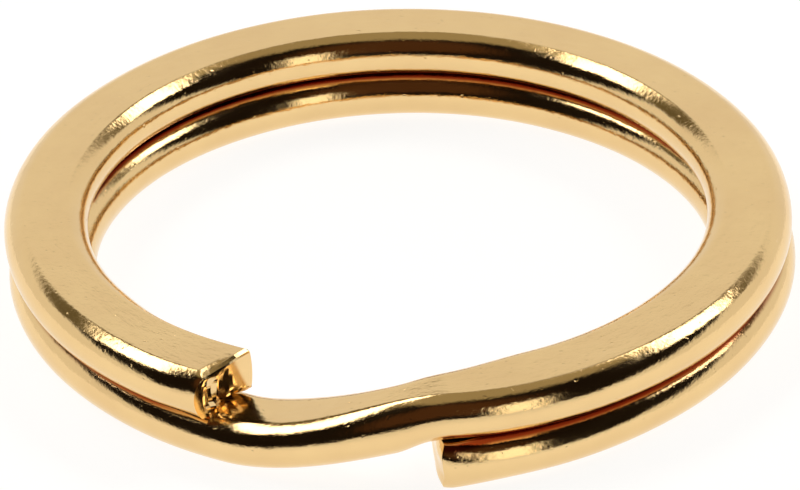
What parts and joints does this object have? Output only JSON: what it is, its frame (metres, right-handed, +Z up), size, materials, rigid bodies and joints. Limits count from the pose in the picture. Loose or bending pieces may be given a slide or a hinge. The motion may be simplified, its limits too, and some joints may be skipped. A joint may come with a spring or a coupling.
{
  "type": "split key ring",
  "caption": "Flat-wire split key ring: one spring wire wound into two turns with a joggled crossover, whose free ends spring open to thread keys on.",
  "frame": {"origin": "centre of the ring's bounding box, on the underside that it lies on", "axes": "+Z up along the ring's own axis; -Y to the front, where the wire crosses over and both free ends are; +X to the right"},
  "size_m": [0.0251, 0.0249, 0.003],
  "materials": {
    "gold_plate": "polished gold plating over flattened spring wire"
  },
  "bodies": {
    "lower_tip": {"lower_end_tip": "gold_plate"},
    "lower_right": {"lower_right_arc": "gold_plate"},
    "lower_back": {"lower_back_arc": "gold_plate"},
    "lower_left": {"lower_left_arc": "gold_plate"},
    "crossover": {"upper_front_arc": "gold_plate", "crossover_bend": "gold_plate", "lower_front_arc": "gold_plate"},
    "upper_right": {"upper_right_arc": "gold_plate"},
    "upper_back": {"upper_back_arc": "gold_plate"},
    "upper_left": {"upper_left_arc": "gold_plate"},
    "upper_tip": {"upper_end_tip": "gold_plate"}
  },
  "joints": [
    {"name": "lower_tip_flex", "type": "hinge", "parent": "lower_tip", "child": "lower_right", "pos_m": [0.01091, -0.00263, 0.00073], "axis": [0.2385, 0.9711, 0], "range_deg": [0, 1.41]},
    {"name": "lower_turn_lift", "type": "hinge", "parent": "lower_right", "child": "lower_back", "pos_m": [0.00597, 0.00948, 0.00073], "axis": [-0.8499, 0.527, 0], "range_deg": [0, 3.7], "stiffness_Nm_per_rad": 4},
    {"name": "lower_left_flex", "type": "hinge", "parent": "lower_back", "child": "lower_left", "pos_m": [-0.00708, 0.00852, 0.00073], "axis": [-0.7638, -0.6455, 0], "range_deg": [0, 3.7]},
    {"name": "lower_front_flex", "type": "hinge", "parent": "lower_left", "child": "crossover", "pos_m": [-0.0102, -0.00419, 0.00073], "axis": [0.3778, -0.9259, 0], "range_deg": [0, 1.41]},
    {"name": "upper_front_flex", "type": "hinge", "parent": "crossover", "child": "upper_right", "pos_m": [0.00777, -0.00797, 0.0023], "axis": [0.7157, 0.6984, 0], "range_deg": [0, 1.41]},
    {"name": "upper_turn_lift", "type": "hinge", "parent": "upper_right", "child": "upper_back", "pos_m": [0.00998, 0.00493, 0.0023], "axis": [-0.4431, 0.8965, 0], "range_deg": [0, 3.7], "stiffness_Nm_per_rad": 4},
    {"name": "upper_left_flex", "type": "hinge", "parent": "upper_back", "child": "upper_left", "pos_m": [-0.00161, 0.01101, 0.0023], "axis": [-0.9895, -0.1444, 0], "range_deg": [0, 3.7]},
    {"name": "upper_tip_flex", "type": "hinge", "parent": "upper_left", "child": "upper_tip", "pos_m": [-0.01097, 0.00188, 0.0023], "axis": [-0.1685, -0.9857, 0], "range_deg": [0, 1.41]}
  ],
  "couplings": [
    {"joint": "lower_tip_flex", "follows": "lower_turn_lift", "ratio": 0.382},
    {"joint": "lower_left_flex", "follows": "lower_turn_lift", "ratio": 1},
    {"joint": "lower_front_flex", "follows": "lower_turn_lift", "ratio": 0.382},
    {"joint": "upper_front_flex", "follows": "upper_turn_lift", "ratio": 0.382},
    {"joint": "upper_left_flex", "follows": "upper_turn_lift", "ratio": 1},
    {"joint": "upper_tip_flex", "follows": "upper_turn_lift", "ratio": 0.382}
  ]
}
